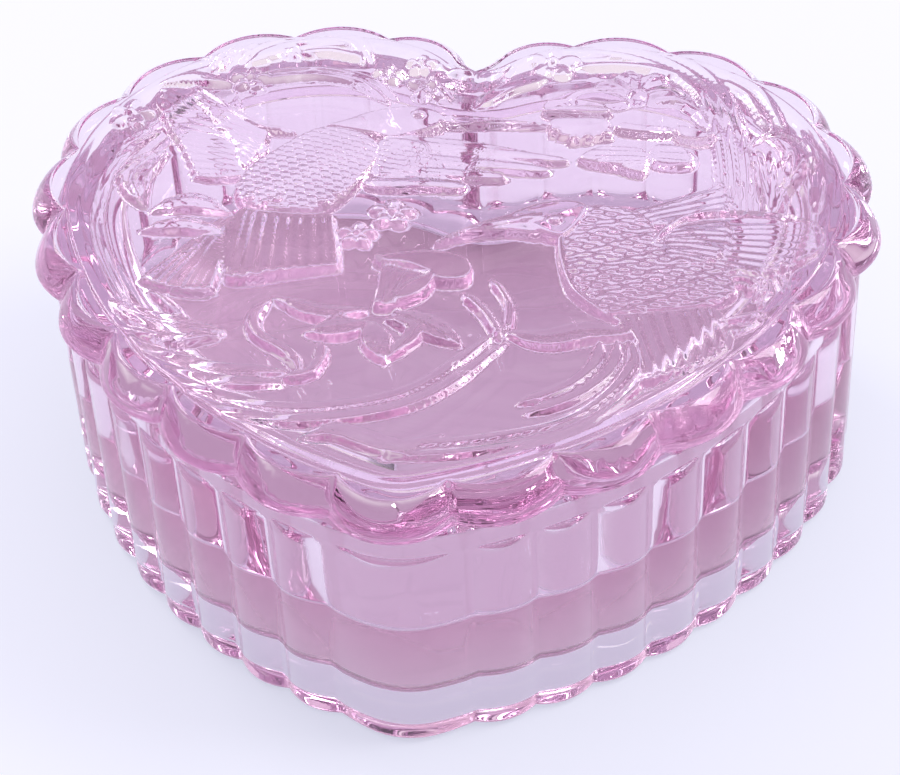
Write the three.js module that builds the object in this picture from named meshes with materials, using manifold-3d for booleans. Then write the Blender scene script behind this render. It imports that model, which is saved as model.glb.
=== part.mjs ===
import * as THREE from 'three';
import ManifoldModule from 'manifold-3d';

// Heart-shaped pressed-glass box with a lift-off lid, in millimetres, +Z up.
// The origin is on the table, under the middle of the lid's outline.

// Heart line: the root of the flutes at the foot, one half being four arcs on common normals
const LOBE_RADIUS = 36.2;
const LOBE_X = 19.4;
const LOBE_Y = 13.7;
const FLANK_RADIUS = 80;
const FLANK_START = THREE.MathUtils.degToRad(-17);
const TIP_RADIUS = 12;
const NOTCH_RADIUS = 5;

// Base: fluted wall, plain lip, thick floor and foot ring; offsets are outward from the heart line
const BASE_HEIGHT = 38;
const FLUTES_PER_SIDE = 18;
const TIP_FLUTE_HALF = 9.6;
const FLUTE_DEPTH = 1.25;
const FLUTE_STEPS = 4;
const FLUTE_TOP = 33.8;
const FLUTE_SHOULDER = 1.5;
const FOOT_CHAMFER = 1.2;
const FOOT_FLUTE_SHARE = 0.65;
const DRAFT = 0.8;
const LIP_OFFSET = 1.1;
const LIP_TOP = 36.2;
const RIM_SHOULDER = 0.35;
const RIM_SHOULDER_DROP = 0.5;
const RIM_OUTER = -1;
const MOUTH_OFFSET = -4.2;
const FLOOR_TOP = 17.5;
const FLOOR_OFFSET = -5;
const FLOOR_FILLET = 1.2;
const FOOT_RING_OFFSET = -5.4;
const RECESS_OFFSET = -6.2;
const RECESS_DEPTH = 6.4;
const SMOOTH_STEPS = 2;

// Lid: scalloped rim with a steep nose, dished scallops, border, relief field and locating rib
const LID_GAP = 0.3;
const LID_BOTTOM = BASE_HEIGHT + LID_GAP;
const LID_OFFSET = 2.2;
const LID_RIM_TOP = LID_BOTTOM + 6.3;
const UNDER_RISE = 0.7;
const EDGE_ROUND = 1;
const EDGE_HEIGHT = LID_BOTTOM + UNDER_RISE + EDGE_ROUND;
const NOSE_DEPTH = 3.2;
const NOSE_FULLNESS = 1.35;
const NOSE_STEPS = 2;
const SCALLOPS_PER_SIDE = 11;
const TIP_SCALLOP_HALF = 7.6;
const SCALLOP_DEPTH = 2.3;
const SCALLOP_STEPS = 6;
const SCALLOP_DISH = 0.3;
const NOTCH_DIP = 3;
const BORDER_INSET = NOSE_DEPTH + 0.2;
const FIELD_INSET = 6.4;
const FIELD_TOP = LID_RIM_TOP - 0.5;
const RIB_OUTER = -5.8;
const RIB_INNER = -9;
const RIB_DEPTH = 2.5;
const RIB_TAPER = 0.2;

const PINK_GLASS = { color: 0xe3b4d8, roughness: 0.05, metalness: 0, transparent: true, opacity: 0.5 };

const manifold = await ManifoldModule();
manifold.setup();

function along(angle) {
  return new THREE.Vector2(Math.cos(angle), Math.sin(angle));
}

// Right half of the heart from tip to notch; "side" is -1 where the arc curves inward
function heartArcs() {
  const lobe = new THREE.Vector2(LOBE_X, LOBE_Y);
  const flank = lobe.clone().addScaledVector(along(FLANK_START), LOBE_RADIUS - FLANK_RADIUS);
  const tip = new THREE.Vector2(0, flank.y - Math.sqrt((FLANK_RADIUS - TIP_RADIUS) ** 2 - flank.x ** 2));
  const tipEnd = tip.clone().sub(flank).angle() - 2 * Math.PI;
  const notch = new THREE.Vector2(0, LOBE_Y + Math.sqrt((LOBE_RADIUS + NOTCH_RADIUS) ** 2 - LOBE_X ** 2));
  const lobeEnd = notch.clone().sub(lobe).angle();
  return [
    { centre: tip, radius: TIP_RADIUS, from: -Math.PI / 2, to: tipEnd, side: 1 },
    { centre: flank, radius: FLANK_RADIUS, from: tipEnd, to: FLANK_START, side: 1 },
    { centre: lobe, radius: LOBE_RADIUS, from: FLANK_START, to: lobeEnd, side: 1 },
    { centre: notch, radius: NOTCH_RADIUS, from: lobeEnd + Math.PI, to: 1.5 * Math.PI, side: -1 },
  ].map((arc) => ({ ...arc, length: arc.radius * Math.abs(arc.to - arc.from) }));
}

const ARCS = heartArcs();
const HALF_LENGTH = ARCS.reduce((sum, arc) => sum + arc.length, 0);

// Point at signed distance s from the tip (negative on the left), moved outward by offset
function heartPoint(s, offset) {
  let rest = Math.min(Math.abs(s), HALF_LENGTH);
  let index = 0;
  while (index < ARCS.length - 1 && rest > ARCS[index].length) {
    rest -= ARCS[index].length;
    index += 1;
  }
  const arc = ARCS[index];
  const angle = THREE.MathUtils.lerp(arc.from, arc.to, rest / arc.length);
  const point = arc.centre.clone().addScaledVector(along(angle), arc.radius + arc.side * offset);
  point.x *= Math.sign(s) || 1;
  return point;
}

// Height of a round bulge across one of the repeats that start at the tip, zero in the valleys
function bulge(s, tipHalf, perSide, depth) {
  const reach = Math.abs(s);
  const pitch = (HALF_LENGTH - tipHalf) / perSide;
  const phase = reach < tipHalf ? reach / tipHalf : (2 * ((reach - tipHalf) % pitch)) / pitch - 1;
  return depth * (1 - Math.min(phase ** 2, 1));
}

function fluteBulge(s) {
  return bulge(s, TIP_FLUTE_HALF, FLUTES_PER_SIDE, FLUTE_DEPTH);
}

function scallopBulge(s) {
  return bulge(s, TIP_SCALLOP_HALF, SCALLOPS_PER_SIDE, SCALLOP_DEPTH);
}

// Stations round the whole heart that land on every valley
function stationsOnValleys(tipHalf, perSide, steps) {
  const pitch = (HALF_LENGTH - tipHalf) / perSide;
  const right = [];
  for (let step = 0; step < steps / 2; step += 1) {
    right.push((2 * tipHalf * step) / steps);
  }
  for (let step = 0; step < perSide * steps; step += 1) {
    right.push(tipHalf + (pitch * step) / steps);
  }
  const left = right.slice(1).reverse().map((s) => -s);
  return [...right, HALF_LENGTH, ...left];
}

// A closed surface made of rings of points, each joined to the next
class RingSurface {
  constructor() {
    this.positions = [];
    this.triangles = [];
  }

  // Adds a ring; the shares say how far round it each point lies, from 0 to 1
  addRing(points, shares = points.map((_, i) => i / points.length)) {
    const first = this.positions.length / 3;
    points.forEach((p) => this.positions.push(p.x, p.y, p.z));
    return { vertices: points.map((_, i) => first + i), shares: [...shares, 1] };
  }

  // Joins two rings of any counts; the surface faces left of the way from a to b
  bridge(a, b) {
    const countA = a.vertices.length;
    const countB = b.vertices.length;
    let i = 0;
    let j = 0;
    while (i < countA || j < countB) {
      const middleA = a.shares[i] + a.shares[i + 1];
      const middleB = b.shares[j] + b.shares[j + 1];
      const stepA = j >= countB || (i < countA && middleA <= middleB);
      const third = stepA ? a.vertices[(i + 1) % countA] : b.vertices[(j + 1) % countB];
      this.triangles.push(a.vertices[i % countA], third, b.vertices[j % countB]);
      i += stepA ? 1 : 0;
      j += stepA ? 0 : 1;
    }
  }

  bridgeAll(rings) {
    rings.slice(1).forEach((ring, i) => this.bridge(rings[i], ring));
  }

  // Flat lid over one level ring, facing up or down
  cap({ vertices }, facesUp) {
    const outline = vertices.map((v) => new THREE.Vector2(this.positions[3 * v], this.positions[3 * v + 1]));
    THREE.ShapeUtils.triangulateShape(outline, []).forEach(([a, b, c]) => {
      this.triangles.push(vertices[a], vertices[facesUp ? b : c], vertices[facesUp ? c : b]);
    });
  }

  // Fan of triangles over one ring from its first point; it faces back against the way round or forward
  fan({ vertices }, forward) {
    for (let i = 2; i < vertices.length; i += 1) {
      this.triangles.push(vertices[0], vertices[forward ? i - 1 : i], vertices[forward ? i : i - 1]);
    }
  }

  // Fan of triangles from a ring to one point inside it, facing up
  close({ vertices }, point) {
    const apex = this.addRing([point]).vertices[0];
    vertices.forEach((v, i) => this.triangles.push(v, vertices[(i + 1) % vertices.length], apex));
  }

  toSolid() {
    const vertProperties = new Float32Array(this.positions);
    const triVerts = new Uint32Array(this.triangles);
    return new manifold.Manifold(new manifold.Mesh({ numProp: 3, vertProperties, triVerts }));
  }
}

function toMesh(name, positions, triangles) {
  const geometry = new THREE.BufferGeometry();
  geometry.setAttribute('position', new THREE.Float32BufferAttribute(positions, 3));
  geometry.setIndex([...triangles]);
  geometry.computeVertexNormals();
  const mesh = new THREE.Mesh(geometry, new THREE.MeshStandardMaterial(PINK_GLASS));
  mesh.name = name;
  return mesh;
}

// Ring of one surface at a list of stations round the heart
function addHeartRing(surface, stations, z, offsetAt) {
  const points = stations.map((s) => {
    const p = heartPoint(s, offsetAt(s));
    return new THREE.Vector3(p.x, p.y, typeof z === 'function' ? z(s) : z);
  });
  const shares = stations.map((s) => (s < 0 ? 1 : 0) + s / (2 * HALF_LENGTH));
  return surface.addRing(points, shares);
}

function buildBase() {
  const surface = new RingSurface();
  const fluted = stationsOnValleys(TIP_FLUTE_HALF, FLUTES_PER_SIDE, FLUTE_STEPS);
  const smooth = stationsOnValleys(TIP_FLUTE_HALF, FLUTES_PER_SIDE, SMOOTH_STEPS);
  const flutedRing = (z, share, inset) =>
    addHeartRing(surface, fluted, z, (s) => (DRAFT * z) / BASE_HEIGHT + share * fluteBulge(s) - inset);
  const smoothRing = (z, offset) => addHeartRing(surface, smooth, z, () => offset);

  // Outside from the foot ring up to the rim, then down the cavity to its floor
  const footRing = smoothRing(0, FOOT_RING_OFFSET);
  const floor = smoothRing(FLOOR_TOP, FLOOR_OFFSET - FLOOR_FILLET);
  surface.bridgeAll([
    footRing,
    flutedRing(0, FOOT_FLUTE_SHARE, FOOT_CHAMFER),
    flutedRing(FOOT_CHAMFER, 1, 0),
    flutedRing(FLUTE_TOP - FLUTE_SHOULDER, 1, 0),
    smoothRing(FLUTE_TOP, LIP_OFFSET),
    smoothRing(LIP_TOP, LIP_OFFSET),
    smoothRing(BASE_HEIGHT - RIM_SHOULDER_DROP, RIM_SHOULDER),
    smoothRing(BASE_HEIGHT, RIM_OUTER),
    smoothRing(BASE_HEIGHT, MOUTH_OFFSET),
    smoothRing(FLOOR_TOP + FLOOR_FILLET, FLOOR_OFFSET),
    floor,
  ]);
  surface.cap(floor, true);

  // Hollow under the floor, inside the foot ring
  const recess = smoothRing(RECESS_DEPTH, RECESS_OFFSET);
  surface.bridge(recess, footRing);
  surface.cap(recess, false);
  return toMesh('base', surface.positions, surface.triangles);
}

// Relief on the lid: low domes and tapering strands that rise out of the field.
// A strand's width and height follow its shape along the way from root to tip.
const STRAND_SHAPES = {
  ribbon: { crown: 0.45, share: (t) => Math.min(1, 5 * t + 0.4, 5 * (1 - t) + 0.4) },
  spike: { crown: 0.3, share: (t) => 1 - 0.7 * t },
  leaf: { crown: 0, share: (t) => Math.sin(Math.PI * (0.08 + 0.84 * t)) ** 0.75 },
  feather: { crown: 0, share: (t) => Math.min(0.55 + 0.9 * t, 1, 4 * (1 - t) + 0.45) },
  bell: { crown: 0.5, share: (t) => 0.35 + 0.65 * t ** 1.5 },
};
const STRAND_STEPS = 2;
const STRAND_LEAST = 2;
const RELIEF_SINK = 0.3;
const PETAL_SIDES = 5;
const PETAL_REACH = 0.56;
const PETAL_LENGTH = 0.95;
const PETAL_WIDTH = 0.8;
const PETAL_RISE = 0.8;
const EYE_WIDTH = 0.7;
const FEATHER_STEP = 1.08;
const BODY_SIDES = 10;
const BODY_RINGS = 2;
const HEAD_RINGS = 1;
const HEAD_SIDES = 8;
const RIBBON_HALF_WIDTH = 1.4;
const RIBBON_HEIGHT = 1.1;

function planeCurve(points) {
  return new THREE.SplineCurve(points.map(([x, y]) => new THREE.Vector2(x, y)));
}

// Low dome on an oval foot, with a number of sides and of rings between foot and top
function oval(x, y, length, width, turn, height, sides = PETAL_SIDES, rings = 0) {
  const surface = new RingSurface();
  const spin = THREE.MathUtils.degToRad(turn);
  const centre = new THREE.Vector2();
  const addLevel = (share, z) => {
    const points = Array.from({ length: sides }, (_, i) => {
      const foot = along((2 * Math.PI * i) / sides).multiplyScalar(share / 2);
      foot.multiply(new THREE.Vector2(length, width)).rotateAround(centre, spin);
      return new THREE.Vector3(x + foot.x, y + foot.y, FIELD_TOP + z);
    });
    return surface.addRing(points);
  };
  const levels = [addLevel(1, -RELIEF_SINK)];
  for (let ring = 1; ring <= rings; ring += 1) {
    const rise = (Math.PI / 2) * (ring / (rings + 1));
    levels.push(addLevel(Math.cos(rise), height * Math.sin(rise)));
  }
  surface.bridgeAll(levels);
  surface.cap(levels[0], false);
  surface.close(levels[rings], new THREE.Vector3(x, y, FIELD_TOP + height));
  return surface;
}

// Ridge along a curve, of one of the shapes above
function strand(shape, points, halfWidth, height) {
  const surface = new RingSurface();
  const curve = planeCurve(points);
  const { crown, share } = STRAND_SHAPES[shape];
  const steps = Math.max(STRAND_LEAST, STRAND_STEPS * (points.length - 1));
  const sections = Array.from({ length: steps + 1 }, (_, i) => {
    const middle = curve.getPoint(i / steps);
    const tangent = curve.getTangent(i / steps);
    const across = new THREE.Vector2(-tangent.y, tangent.x).multiplyScalar(halfWidth * share(i / steps));
    const corner = (side, z) =>
      new THREE.Vector3(middle.x + side * across.x, middle.y + side * across.y, FIELD_TOP + z);
    const top = height * Math.sqrt(share(i / steps));
    const crest = crown > 0 ? [corner(crown, top), corner(-crown, top)] : [corner(0, top)];
    return surface.addRing([corner(1, -RELIEF_SINK), ...crest, corner(-1, -RELIEF_SINK)]);
  });
  surface.bridgeAll(sections);
  surface.fan(sections[0], false);
  surface.fan(sections[steps], true);
  return surface;
}

// Feathers side by side, from a line of roots to a line of tips
function feathers(count, roots, tips, halfWidth, height) {
  const rootLine = planeCurve(roots);
  const tipLine = planeCurve(tips);
  return Array.from({ length: count }, (_, i) => {
    const root = rootLine.getPoint(i / (count - 1));
    const tip = tipLine.getPoint(i / (count - 1));
    const rise = height * (i % 2 === 0 ? 1 : FEATHER_STEP);
    return strand('feather', [root.toArray(), tip.toArray()], halfWidth, rise);
  });
}

// Petals in a full or part circle round a raised eye
function blossom(x, y, radius, petals, height, from = 90, sweep = 360) {
  const shapes = [oval(x, y, radius * EYE_WIDTH, radius * EYE_WIDTH, from, height)];
  const gaps = sweep < 360 ? petals - 1 : petals;
  for (let i = 0; i < petals; i += 1) {
    const turn = from + (sweep * i) / gaps;
    const centre = along(THREE.MathUtils.degToRad(turn)).multiplyScalar(radius * PETAL_REACH);
    const [length, width] = [radius * PETAL_LENGTH, radius * PETAL_WIDTH];
    shapes.push(oval(x + centre.x, y + centre.y, length, width, turn, height * PETAL_RISE));
  }
  return shapes;
}

function leftBird() {
  return [
    oval(-20.5, 15.5, 22, 18.5, 72, 1.7, BODY_SIDES, BODY_RINGS),
    oval(-10, 27, 16, 9.5, 18, 1.5, HEAD_SIDES, HEAD_RINGS),
    strand('spike', [[-4, 28.6], [4, 29], [12.3, 28.4]], 1.4, 1.1),
    ...feathers(6, [[-25, 25], [-28, 19], [-30, 14]], [[-46.5, 33.5], [-41.5, 23], [-35.5, 12.8]], 2.3, 1.2),
    ...feathers(5, [[-11, 23], [-10, 17], [-12, 12]], [[15.3, 20.8], [11, 16.8], [-3, 10.5]], 2.1, 1.2),
    ...feathers(4, [[-28, 8], [-22, 7], [-17, 8]], [[-27, -9.5], [-20, -8.5], [-14, -6.5]], 2.1, 1.2),
    ...feathers(3, [[-30, 5], [-29, 4], [-28.5, 3]], [[-38.5, -8.5], [-35, -12], [-30, -12]], 1.8, 1.1),
  ];
}

function rightBird() {
  return [
    oval(27, -1.5, 27, 17.5, -56, 1.7, BODY_SIDES, BODY_RINGS),
    oval(15.6, 6.8, 10.5, 8.4, 35, 1.9, HEAD_SIDES, HEAD_RINGS),
    strand('spike', [[14.5, 6], [7, 4.6], [0, 0.4]], 2.2, 1.2),
    ...feathers(3, [[26, 7], [28, 6], [30, 5]], [[37.3, 16.3], [39, 13], [38.8, 10]], 1.8, 1.1),
    ...feathers(5, [[31, 6], [33, 1], [32, -5]], [[51, 8.5], [51.5, 1], [41, -8]], 2.3, 1.2),
    ...feathers(4, [[24.5, -11], [30, -10], [36, -9]], [[28.6, -25], [34.5, -23.5], [40, -19]], 1.9, 1.2),
  ];
}

function flowers() {
  return [
    ...blossom(17.5, 31, 7, 5, 1.5, 80),
    strand('spike', [[22, 29.4], [31, 27.4], [36, 27]], 2.2, 1.1),
    strand('bell', [[33.5, 21.5], [26, 21], [18.5, 20.8]], 3.6, 1.2),
    ...blossom(24.5, 36.5, 6.5, 4, 1.1, 20, 130),
    ...blossom(11.5, 44, 4.2, 5, 1.1),
    strand('bell', [[46, 11], [45, 18], [45.5, 27]], 4.2, 1.2),
    oval(-2, -4.4, 13, 6, -8, 1.5, HEAD_SIDES, HEAD_RINGS),
    strand('bell', [[-6.8, -14], [-5, -9], [-2.4, -4.6]], 5, 1.1),
    ...blossom(-5, 37, 3.8, 5, 1.1),
    ...blossom(-31.5, 37, 3.2, 5, 1.1),
    ...blossom(-36, 44.5, 3.4, 5, 1.1),
    ...blossom(-49, 27.5, 3.6, 5, 1.1),
    ...blossom(-7.5, 5.5, 3.4, 5, 1.1),
  ];
}

function leaves() {
  return [
    strand('leaf', [[-6, -14.5], [-10, -17.5], [-15, -19.4]], 2.4, 1.1),
    strand('leaf', [[-6, -14.5], [-5, -20], [-4, -24.5]], 2.8, 1.1),
    strand('leaf', [[-3, -14], [2, -17], [5.2, -20.4]], 2.2, 1.1),
    strand('leaf', [[-12, -13.5], [-17, -11.8], [-21, -12.8]], 1.8, 1),
    strand('leaf', [[-43.5, 3], [-44, 10], [-41.5, 17]], 2.4, 1),
    strand('leaf', [[-41, 2], [-36, 5.6], [-30, 4.6]], 3, 1.1),
    strand('leaf', [[-46, -13.5], [-37, -19.5], [-26, -20.4]], 3.2, 1.1),
    strand('leaf', [[11, -18.2], [17, -18.4], [22.5, -16.6], [29, -19]], 2.6, 1.1),
    strand('leaf', [[-12.6, -40.4], [-7, -39.4], [0, -43], [5, -39]], 1.9, 1),
    strand('leaf', [[37, -13], [42, -13.5], [47, -9.5]], 2, 1),
  ];
}

function ribbons() {
  const routes = [
    [[-46, 22], [-51.5, 12], [-51, 0], [-47, -10], [-42, -19]],
    [[-43.5, 20.5], [-48.5, 11], [-48, 1], [-44.5, -8], [-40.5, -14]],
    [[-43, -20], [-36, -26], [-25, -29], [-14.5, -29], [-12.6, -25.5], [-13.2, -21.8]],
    [[-22.5, -14], [-22.5, -19], [-18, -23.5], [-14.6, -27.6]],
    [[-43, -23], [-31, -32], [-18, -36.6], [-6, -34.8], [4, -29], [10.3, -19.5]],
    [[5, -11], [8, -14], [10.6, -18.5]],
    [[8.3, -7.5], [11, -12], [11.2, -18]],
    [[24.5, -17.5], [24, -23], [20.5, -28], [14.5, -32]],
    [[27.5, -17.5], [28.6, -23], [25.5, -29.5], [19, -35], [9, -39], [-2, -40.5]],
    [[2.5, 39.5], [5, 45], [11, 48], [21, 48.4], [30, 45], [35.8, 38.5], [38.5, 28], [39.5, 12]],
    [[15, 43.2], [22, 44], [30, 42], [34, 37]],
    [[35.5, 43], [41.5, 37.5], [44.5, 30.5]],
    [[2, 33.5], [6, 37.5], [10.5, 41]],
    [[-34, 41], [-30, 45.3], [-22, 46.8], [-17.4, 45.6], [-16.3, 42.2]],
    [[-32, 37.5], [-22, 38.8], [-14.5, 36.3], [-11, 32.6]],
    [[-46, 34.5], [-41, 37.5], [-36, 41.5]],
  ];
  return routes.map((route) => strand('ribbon', route, RIBBON_HALF_WIDTH, RIBBON_HEIGHT));
}

// Inward step of the lid's outline on either side of the notch
function notchDip(s) {
  const pitch = (HALF_LENGTH - TIP_SCALLOP_HALF) / SCALLOPS_PER_SIDE;
  return NOTCH_DIP * Math.max(0, 1 - (HALF_LENGTH - Math.abs(s)) / pitch) ** 2;
}

// Depth in from the scalloped edge and height of the nose, at a share of the turn up from its widest line
function nosePoint(share) {
  const turn = along((share * Math.PI) / 2);
  const rise = turn.y ** NOSE_FULLNESS;
  return [NOSE_DEPTH * (1 - turn.x ** NOSE_FULLNESS), EDGE_HEIGHT + (LID_RIM_TOP - EDGE_HEIGHT) * rise];
}

function buildLid() {
  const surface = new RingSurface();
  const stations = stationsOnValleys(TIP_SCALLOP_HALF, SCALLOPS_PER_SIDE, SCALLOP_STEPS);
  const lineOffset = (s, inset) => LID_OFFSET - notchDip(s) - inset;
  const scallopRing = (depth, z) =>
    addHeartRing(surface, stations, z, (s) => lineOffset(s, depth - scallopBulge(s)));
  const lineRing = (inset, z) => addHeartRing(surface, stations, z, (s) => lineOffset(s, inset));

  // Rim, from the widest line up over the nose and the dished scallops to the border and the field
  const edge = scallopRing(0, EDGE_HEIGHT);
  const nose = Array.from({ length: NOSE_STEPS }, (_, i) => scallopRing(...nosePoint((i + 1) / NOSE_STEPS)));
  const dishHeight = (s) => LID_RIM_TOP - (SCALLOP_DISH * scallopBulge(s)) / SCALLOP_DEPTH;
  const dishOffset = (s) => lineOffset(s, (NOSE_DEPTH + BORDER_INSET - scallopBulge(s)) / 2);
  const field = lineRing(FIELD_INSET, FIELD_TOP);
  surface.bridgeAll([
    edge,
    ...nose,
    addHeartRing(surface, stations, dishHeight, dishOffset),
    lineRing(BORDER_INSET, LID_RIM_TOP),
    field,
  ]);
  surface.cap(field, true);

  // Underside with the rib that drops into the mouth of the base
  const smooth = stationsOnValleys(TIP_FLUTE_HALF, FLUTES_PER_SIDE, SMOOTH_STEPS);
  const smoothRing = (z, offset) => addHeartRing(surface, smooth, z, () => offset);
  const middle = smoothRing(LID_BOTTOM, RIB_INNER);
  surface.bridgeAll([
    middle,
    smoothRing(LID_BOTTOM - RIB_DEPTH, RIB_INNER + RIB_TAPER),
    smoothRing(LID_BOTTOM - RIB_DEPTH, RIB_OUTER - RIB_TAPER),
    smoothRing(LID_BOTTOM, RIB_OUTER),
    smoothRing(LID_BOTTOM, RIM_OUTER),
    scallopRing(EDGE_ROUND, LID_BOTTOM + UNDER_RISE),
    edge,
  ]);
  surface.cap(middle, false);

  const relief = [leftBird(), rightBird(), flowers(), leaves(), ribbons()].flat();
  const joined = relief.reduce((solid, form) => solid.add(form.toSolid()), surface.toSolid());
  const { vertProperties, triVerts } = joined.getMesh();
  return toMesh('lid', vertProperties, triVerts);
}

const heartBox = new THREE.Group();
heartBox.name = 'heart_box';
heartBox.add(buildBase(), buildLid());

export default heartBox;
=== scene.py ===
import math

import bmesh
import bpy
import numpy as np
from mathutils import Matrix, Vector


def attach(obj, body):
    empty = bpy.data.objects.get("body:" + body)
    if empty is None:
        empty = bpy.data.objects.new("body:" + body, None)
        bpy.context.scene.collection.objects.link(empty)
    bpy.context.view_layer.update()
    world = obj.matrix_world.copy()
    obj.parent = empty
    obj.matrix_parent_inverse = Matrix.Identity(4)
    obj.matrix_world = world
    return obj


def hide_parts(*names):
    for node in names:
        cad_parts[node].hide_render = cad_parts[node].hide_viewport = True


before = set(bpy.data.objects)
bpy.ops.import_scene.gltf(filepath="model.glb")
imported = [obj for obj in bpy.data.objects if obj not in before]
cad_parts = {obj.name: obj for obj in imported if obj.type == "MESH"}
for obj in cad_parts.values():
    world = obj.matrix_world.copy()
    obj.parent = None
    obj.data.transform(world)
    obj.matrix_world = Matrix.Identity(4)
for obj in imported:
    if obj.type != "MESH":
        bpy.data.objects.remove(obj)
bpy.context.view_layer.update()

# Heart-shaped pressed-glass box. Lengths are in millimetres until a mesh is made.
MM = 0.001

# Heart line: the root of the flutes at the foot, one half being four arcs on common normals
LOBE_RADIUS = 36.2
LOBE = np.array([19.4, 13.7])
FLANK_RADIUS = 80
FLANK_START = math.radians(-17)
TIP_RADIUS = 12
NOTCH_RADIUS = 5

# Base
BASE_HEIGHT = 38
FLUTES_PER_SIDE = 18
TIP_FLUTE_HALF = 9.6
FLUTE_DEPTH = 1.25
FLUTE_STEPS = 16
FLUTE_TOP = 33.8
FLUTE_SHOULDER = 1.5
SHOULDER_STEPS = 8
FOOT_ROUND = 1.2
FOOT_FLUTE_SHARE = 0.65
FOOT_STEPS = 6
WALL_STEPS = 8
DRAFT = 0.8
LIP_OFFSET = 1.1
LIP_FOOT = FLUTE_TOP + 0.3
LIP_SHOULDER = 36
LIP_TOP = 36.2
LIP_STEPS = 8
RIM_OUTER = -1
MOUTH_OFFSET = -4.2
MOUTH_ROUND = 0.6
MOUTH_STEPS = 4
CAVITY_STEPS = 6
FLOOR_TOP = 17.5
FLOOR_OFFSET = -5
FLOOR_FILLET = 1.2
FILLET_STEPS = 6
FOOT_RING_OFFSET = -5.4
RECESS_OFFSET = -6.2
RECESS_DEPTH = 6.4
RECESS_ROUND = 0.8
RECESS_STEPS = 5
RECESS_FLARE = 0.1
RECESS_FLARE_HEIGHT = 0.4
FLAT_STRIP = 0.5

# Lid
LID_BOTTOM = BASE_HEIGHT + 0.3
LID_OFFSET = 2.2
LID_RIM_TOP = 44.6
UNDER_RISE = 0.7
EDGE_ROUND = 1
EDGE_STEPS = 5
NOSE_DEPTH = 3.2
NOSE_FULLNESS = 1.35
NOSE_STEPS = 16
SCALLOPS_PER_SIDE = 11
TIP_SCALLOP_HALF = 7.6
SCALLOP_DEPTH = 2.3
SCALLOP_STEPS = 20
SCALLOP_DISH = 0.3
DISH_EDGE = 0.14
DISH_SHARES = (0.04, 0.08, 0.14, 0.25, 0.5, 0.75, 0.86, 0.92, 0.96)
NOTCH_DIP = 3
BORDER_INSET = 3.4
BORDER_FLAT = 4.6
BORDER_STEPS = 9
FIELD_INSET = 6.4
FIELD_TOP = LID_RIM_TOP - 0.5
FIELD_CENTRE = np.array([0, 2])
FIELD_RINGS = 120
FIELD_SPACING = 0.4
RIB_OUTER = -5.8
RIB_INNER = -9
RIB_DEPTH = 2.5
RIB_TAPER = 0.2
RIB_FILLET = 0.2
RIB_EDGE = 0.3
RIB_STRIP = 0.6

# Relief on the lid
LINE_HALF = 0.8
LINE_RISE = 0.2
BEAD_RISE = 0.3
MIN_RISE = 0.3
SCALE_TURN = -18
SCALE_ROW = 1.15
SCALE_WIDTH = 1.7
SCALE_RISE = 0.22
DOWN_RISE = 0.1
FINE_MESH = (
    [[-21, 27], [-31, 14], [-31, 4], [-14, 4], [-9.5, 19], [-12, 25]],
    [[15, 11], [15, 0], [20, -12], [25, -15], [42, -11], [42, -3], [30, 7], [24, 12]],
)

# Glass
PALE_TINT = (0.985, 0.935, 0.99, 1)
DEEP_TINT = (0.985, 0.925, 0.99, 1)
STREAK_SCALE = 140
STREAK_DETAIL = 1
# Deeper pink tint on the stippled ceiling under the floor: painted shade for the dim light under the box
STIPPLE_PAINTED_SHADE = (1, 0.67, 0.78, 1)
STIPPLE_ROUGHNESS = 0.65
BODY_COLOUR = (0.79, 0.04, 0.55, 1)
BODY_DENSITY = 9.5
GLASS_INDEX = 1.5

# Floor, surroundings and lamps, in metres and watts
FLOOR_HALF = 3
FLOOR_DROP = 0.0003
FLOOR_COLOUR = (0.31, 0.32, 0.33, 1)
FLOOR_GLOW = (0.82, 0.83, 1, 1)
FLOOR_GLOW_STRENGTH = 0.7
FLOOR_ROUGHNESS = 0.6
HORIZON_COLOUR = (0.54, 0.38, 0.53, 1)
HORIZON_RISE = 0.58
OVERHEAD_COLOUR = (1, 1, 1, 1)
OVERHEAD_RISE = 0.82
SURROUNDINGS_STRENGTH = 0.95
BOX_MIDDLE = (0, 0, 0.03)
LEFT_SOFTBOX = {"place": (-0.72, 0.6, 0.78), "size": (0.4, 0.4), "watts": 4}
RIGHT_SOFTBOX = {"place": (0.8, 0.14, 0.82), "size": (0.55, 0.55), "watts": 6}
LIGHT_BOUNCES = 12

# Camera, in millimetres and degrees
CAMERA_PLACE = (54.6, -339.6, 316.6)
CAMERA_TARGET = (-2.95, 21.63, 0)
CAMERA_ROLL = -2.89
CAMERA_LENS = 128
CAMERA_SENSOR = 36


def along(angle):
    return np.array([math.cos(angle), math.sin(angle)])


def heart_arcs():
    """Right half of the heart from tip to notch: centre, radius, start, end and side of each arc."""
    flank = LOBE + along(FLANK_START) * (LOBE_RADIUS - FLANK_RADIUS)
    tip = np.array([0, flank[1] - math.sqrt((FLANK_RADIUS - TIP_RADIUS) ** 2 - flank[0] ** 2)])
    tip_end = math.atan2(*(tip - flank)[::-1])
    notch = np.array([0, LOBE[1] + math.sqrt((LOBE_RADIUS + NOTCH_RADIUS) ** 2 - LOBE[0] ** 2)])
    lobe_end = math.atan2(*(notch - LOBE)[::-1])
    return [
        (tip, TIP_RADIUS, -math.pi / 2, tip_end, 1),
        (flank, FLANK_RADIUS, tip_end, FLANK_START, 1),
        (LOBE, LOBE_RADIUS, FLANK_START, lobe_end, 1),
        (notch, NOTCH_RADIUS, lobe_end + math.pi, 1.5 * math.pi, -1),
    ]


ARCS = heart_arcs()
ARC_LENGTHS = [radius * abs(end - start) for _, radius, start, end, _ in ARCS]
HALF_LENGTH = sum(ARC_LENGTHS)


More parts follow.
